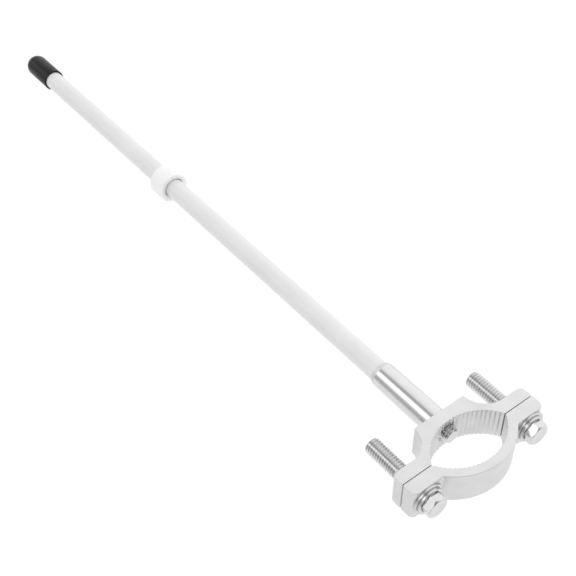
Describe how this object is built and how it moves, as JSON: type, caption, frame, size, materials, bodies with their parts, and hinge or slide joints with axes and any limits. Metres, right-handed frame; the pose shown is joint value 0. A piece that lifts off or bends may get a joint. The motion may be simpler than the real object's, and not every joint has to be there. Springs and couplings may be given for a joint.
{
  "type": "omnidirectional antenna",
  "caption": "White fibreglass whip antenna with a black tip cap, a sliding collar and a bright ferrule, screwed into a serrated two-piece mast clamp with hex bolts.",
  "frame": {"origin": "middle of the clamp's bore, half way through its thickness, on the plane where the two halves part", "axes": "+Z along the bore, out of the clamp's flat upper face; +Y along the whip from the clamp to its tip; +X towards the right-hand ear, seen from above with the whip pointing away. In use on a level rail the whip stands up, so +Y points up then."},
  "size_m": [0.076, 0.3915, 0.017],
  "materials": {
    "clamp_alloy": "fine satin, tumbled",
    "bolt_steel": "polished stainless steel",
    "washer_steel": "bright stainless steel",
    "ferrule_chrome": "mirror bright plating with lathe marks",
    "radome_white": "gelcoated fibreglass, soft gloss",
    "cap_black": "soft satin vinyl",
    "collar_white": "moulded, slightly satin",
    "insulator_ivory": "moulded",
    "contact_brass": "turned",
    "winding_copper": "enamelled copper wire"
  },
  "bodies": {
    "antenna": {"clamp_saddle": "clamp_alloy", "base_ferrule": "ferrule_chrome", "ferrule_stud": "bolt_steel", "radome_tube": "radome_white", "tip_cap": "cap_black", "base_insulator": "insulator_ivory", "feed_pin": "contact_brass", "coil_former": "insulator_ivory", "loading_coil": "winding_copper", "radiator_rod": "contact_brass", "spacer_lower": "insulator_ivory", "spacer_middle": "insulator_ivory", "spacer_upper": "insulator_ivory", "end_plug": "insulator_ivory"},
    "jaw": {"clamp_jaw": "clamp_alloy", "flat_washer_left": "washer_steel", "flat_washer_right": "washer_steel", "spring_washer_left": "washer_steel", "spring_washer_right": "washer_steel"},
    "bolt_left": {"clamp_bolt_left": "bolt_steel"},
    "bolt_right": {"clamp_bolt_right": "bolt_steel"},
    "collar": {"slide_collar": "collar_white"}
  },
  "joints": [
    {"name": "clamp_open", "type": "slide", "parent": "antenna", "child": "jaw", "axis": [0, -1, 0], "range_m": [0, 0.021]},
    {"name": "bolt_left_turn", "type": "hinge", "parent": "jaw", "child": "bolt_left", "pos_m": [-0.03, -0.0115, 0], "axis": [0, 1, 0], "range_deg": [-5900, 0]},
    {"name": "bolt_right_turn", "type": "hinge", "parent": "jaw", "child": "bolt_right", "pos_m": [0.03, -0.0115, 0], "axis": [0, 1, 0], "range_deg": [-5900, 0]},
    {"name": "collar_slide", "type": "slide", "parent": "antenna", "child": "collar", "axis": [0, 1, 0], "range_m": [-0.16, 0.112]}
  ],
  "couplings": [
    {"joint": "bolt_left_turn", "follows": "clamp_open", "rad_per_m": -4452.7},
    {"joint": "bolt_right_turn", "follows": "clamp_open", "rad_per_m": -4452.7}
  ]
}
